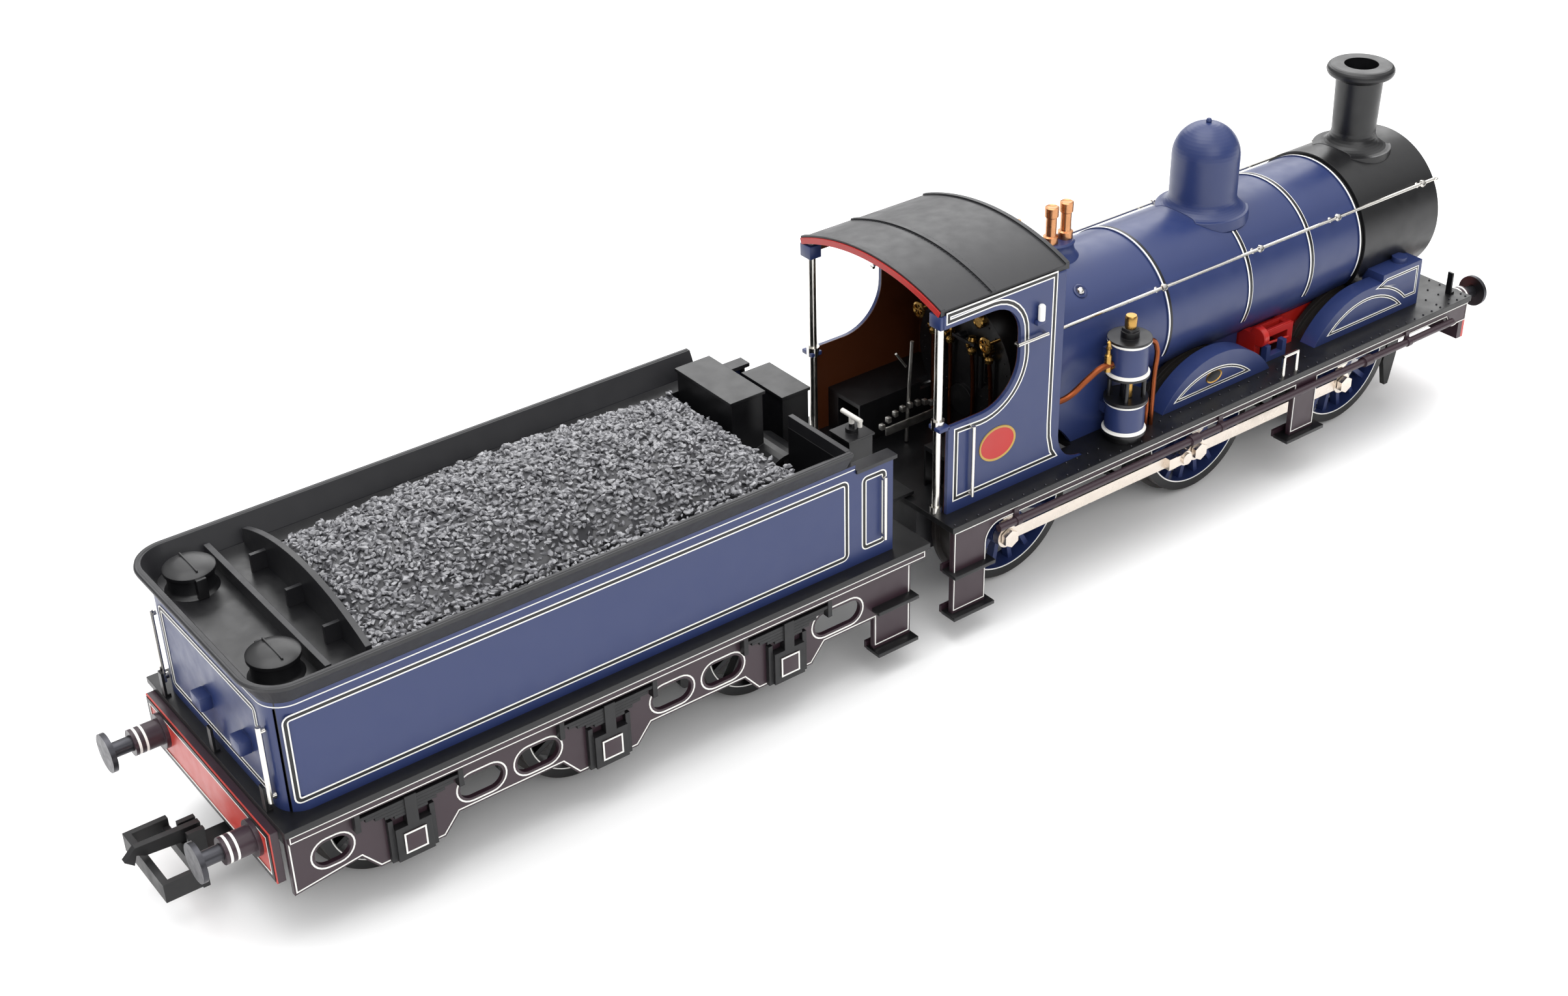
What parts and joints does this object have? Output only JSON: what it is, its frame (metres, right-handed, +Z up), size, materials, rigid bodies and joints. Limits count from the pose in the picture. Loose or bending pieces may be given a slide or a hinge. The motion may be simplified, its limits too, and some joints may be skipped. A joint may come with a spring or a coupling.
{
  "type": "tender locomotive model",
  "caption": "Scale model of a six-coupled steam tender locomotive with turning wheels, working coupling rods, sprung buffers, a swinging tender and a hook coupling.",
  "frame": {"origin": "bottom centre of the box round the whole model, on the plane through the wheel flanges' lowest points", "axes": "+X forwards along the length, +Y to the locomotive's left, +Z up"},
  "size_m": [0.21, 0.035, 0.0503],
  "materials": {
    "blue_plastic": "satin deep blue paint over moulded plastic, lined in white, black and white",
    "black_plastic": "satin black paint over moulded plastic",
    "brown_plastic": "satin purple-brown paint with white lining",
    "red_plastic": "satin red paint",
    "white_print": "printed white band on raised strips",
    "tan_plastic": "satin tan paint",
    "roof_plastic": "satin grey-black",
    "coal": "rough moulded coal with a slight glitter",
    "bright_steel": "bright plated steel wire and turnings",
    "rod_nickel": "pale nickel-plated stamping",
    "dark_steel": "chemically blackened steel",
    "die_cast": "dark die-cast alloy",
    "brass": "turned brass",
    "copper": "copper-coloured wire",
    "wheel_blue": "blue spokes with a white rim line and blackened tyres",
    "wheel_black": "black spokes and blackened tyres",
    "board_green": "green circuit board",
    "motor_steel": "plated steel motor case"
  },
  "bodies": {
    "locomotive": {"chassis_block": "die_cast", "keeper_plate": "black_plastic", "footplate": "black_plastic", "valances": "brown_plastic", "boiler": "blue_plastic", "boiler_bands": "white_print", "smokebox": "black_plastic", "smokebox_door": "black_plastic", "chimney": "blue_plastic", "dome": "blue_plastic", "safety_valves": "brass", "cab": "blue_plastic", "cab_roof": "roof_plastic", "cab_pillars": "bright_steel", "backhead": "black_plastic", "cab_seats": "tan_plastic", "splashers": "blue_plastic", "boiler_handrails": "bright_steel", "air_pump": "blue_plastic", "pump_pipes": "copper", "train_pipe": "brown_plastic", "front_beam": "red_plastic", "lamp_irons": "dark_steel", "inside_motion": "red_plastic", "motor_can": "motor_steel"},
    "front_wheelset": {"front_wheels": "wheel_blue", "front_axle": "bright_steel"},
    "driving_wheelset": {"driving_wheels": "wheel_blue", "driving_axle": "bright_steel"},
    "rear_wheelset": {"rear_wheels": "wheel_blue", "rear_axle": "bright_steel"},
    "motor_rotor": {"motor_shaft": "brass"},
    "drawbar": {"drawbar": "dark_steel"},
    "front_rod_right": {"front_rod_right": "rod_nickel"},
    "front_rod_left": {"front_rod_left": "rod_nickel"},
    "rear_rod_right": {"rear_rod_right": "rod_nickel"},
    "rear_rod_left": {"rear_rod_left": "rod_nickel"},
    "front_buffer_right": {"front_buffer_right": "dark_steel"},
    "front_buffer_left": {"front_buffer_left": "dark_steel"},
    "rear_buffer_right": {"rear_buffer_right": "dark_steel"},
    "rear_buffer_left": {"rear_buffer_left": "dark_steel"},
    "tender": {"tender_chassis": "die_cast", "tender_footplate": "black_plastic", "tender_frames": "brown_plastic", "axleboxes": "black_plastic", "tender_tank": "blue_plastic", "coping": "black_plastic", "coal": "coal", "fillers": "black_plastic", "tender_beam": "red_plastic", "tender_fittings": "dark_steel", "brake_standard": "black_plastic", "tender_weight": "die_cast", "circuit_board": "board_green"},
    "tender_wheelset_front": {"tender_wheelset_front": "wheel_black"},
    "tender_wheelset_middle": {"tender_wheelset_middle": "wheel_black"},
    "tender_wheelset_rear": {"tender_wheelset_rear": "wheel_black"},
    "fall_plate": {"fall_plate": "dark_steel"},
    "coupling_bar": {"coupling_bar": "black_plastic"},
    "coupling_hook": {"coupling_hook": "dark_steel"}
  },
  "joints": [
    {"name": "driving_axle_spin", "type": "hinge", "parent": "locomotive", "child": "driving_wheelset", "pos_m": [0.04745, 0, 0.01065], "axis": [0, 1, 0], "continuous": true},
    {"name": "front_axle_spin", "type": "hinge", "parent": "locomotive", "child": "front_wheelset", "pos_m": [0.07745, 0, 0.01065], "axis": [0, 1, 0], "continuous": true},
    {"name": "rear_axle_spin", "type": "hinge", "parent": "locomotive", "child": "rear_wheelset", "pos_m": [0.01245, 0, 0.01065], "axis": [0, 1, 0], "continuous": true},
    {"name": "front_rod_right_pin", "type": "hinge", "parent": "driving_wheelset", "child": "front_rod_right", "pos_m": [0.0461, -0.01105, 0.00775], "axis": [0, 1, 0], "continuous": true},
    {"name": "rear_rod_right_pin", "type": "hinge", "parent": "rear_wheelset", "child": "rear_rod_right", "pos_m": [0.0111, -0.01105, 0.00775], "axis": [0, 1, 0], "continuous": true},
    {"name": "front_rod_left_pin", "type": "hinge", "parent": "driving_wheelset", "child": "front_rod_left", "pos_m": [0.05035, 0.01105, 0.0093], "axis": [0, 1, 0], "continuous": true},
    {"name": "rear_rod_left_pin", "type": "hinge", "parent": "rear_wheelset", "child": "rear_rod_left", "pos_m": [0.01535, 0.01105, 0.0093], "axis": [0, 1, 0], "continuous": true},
    {"name": "motor_spin", "type": "hinge", "parent": "locomotive", "child": "motor_rotor", "pos_m": [0.04745, 0, 0.01745], "axis": [1, 0, 0], "continuous": true},
    {"name": "front_buffer_right_slide", "type": "slide", "parent": "locomotive", "child": "front_buffer_right", "axis": [-1, 0, 0], "range_m": [0, 0.0015], "stiffness_N_per_m": 300},
    {"name": "front_buffer_left_slide", "type": "slide", "parent": "locomotive", "child": "front_buffer_left", "axis": [-1, 0, 0], "range_m": [0, 0.0015], "stiffness_N_per_m": 300},
    {"name": "rear_buffer_right_slide", "type": "slide", "parent": "tender", "child": "rear_buffer_right", "axis": [1, 0, 0], "range_m": [0, 0.0015], "stiffness_N_per_m": 300},
    {"name": "rear_buffer_left_slide", "type": "slide", "parent": "tender", "child": "rear_buffer_left", "axis": [1, 0, 0], "range_m": [0, 0.0015], "stiffness_N_per_m": 300},
    {"name": "drawbar_pivot", "type": "hinge", "parent": "locomotive", "child": "drawbar", "pos_m": [0.00245, 0, 0.0056], "axis": [0, 0, 1], "range_deg": [-5, 5]},
    {"name": "tender_pivot", "type": "hinge", "parent": "drawbar", "child": "tender", "pos_m": [-0.01605, 0, 0.0056], "axis": [0, 0, 1], "range_deg": [-5, 5]},
    {"name": "tender_front_spin", "type": "hinge", "parent": "tender", "child": "tender_wheelset_front", "pos_m": [-0.02855, 0, 0.00865], "axis": [0, 1, 0], "continuous": true},
    {"name": "tender_middle_spin", "type": "hinge", "parent": "tender", "child": "tender_wheelset_middle", "pos_m": [-0.05375, 0, 0.00865], "axis": [0, 1, 0], "continuous": true},
    {"name": "tender_rear_spin", "type": "hinge", "parent": "tender", "child": "tender_wheelset_rear", "pos_m": [-0.07895, 0, 0.00865], "axis": [0, 1, 0], "continuous": true},
    {"name": "fall_plate_hinge", "type": "hinge", "parent": "tender", "child": "fall_plate", "pos_m": [-0.00695, 0, 0.0179], "axis": [0, -1, 0], "range_deg": [0, 60]},
    {"name": "coupling_swing", "type": "hinge", "parent": "tender", "child": "coupling_bar", "pos_m": [-0.09075, 0, 0.0054], "axis": [0, 0, 1], "range_deg": [-12, 12]},
    {"name": "coupling_hook_lift", "type": "hinge", "parent": "coupling_bar", "child": "coupling_hook", "pos_m": [-0.09715, 0, 0.0082], "axis": [0, 1, 0], "range_deg": [0, 30]}
  ],
  "couplings": [
    {"joint": "front_axle_spin", "follows": "driving_axle_spin", "ratio": 1},
    {"joint": "rear_axle_spin", "follows": "driving_axle_spin", "ratio": 1},
    {"joint": "front_rod_right_pin", "follows": "driving_axle_spin", "ratio": -1},
    {"joint": "rear_rod_right_pin", "follows": "driving_axle_spin", "ratio": -1},
    {"joint": "front_rod_left_pin", "follows": "driving_axle_spin", "ratio": -1},
    {"joint": "rear_rod_left_pin", "follows": "driving_axle_spin", "ratio": -1},
    {"joint": "motor_spin", "follows": "driving_axle_spin", "ratio": 24}
  ]
}
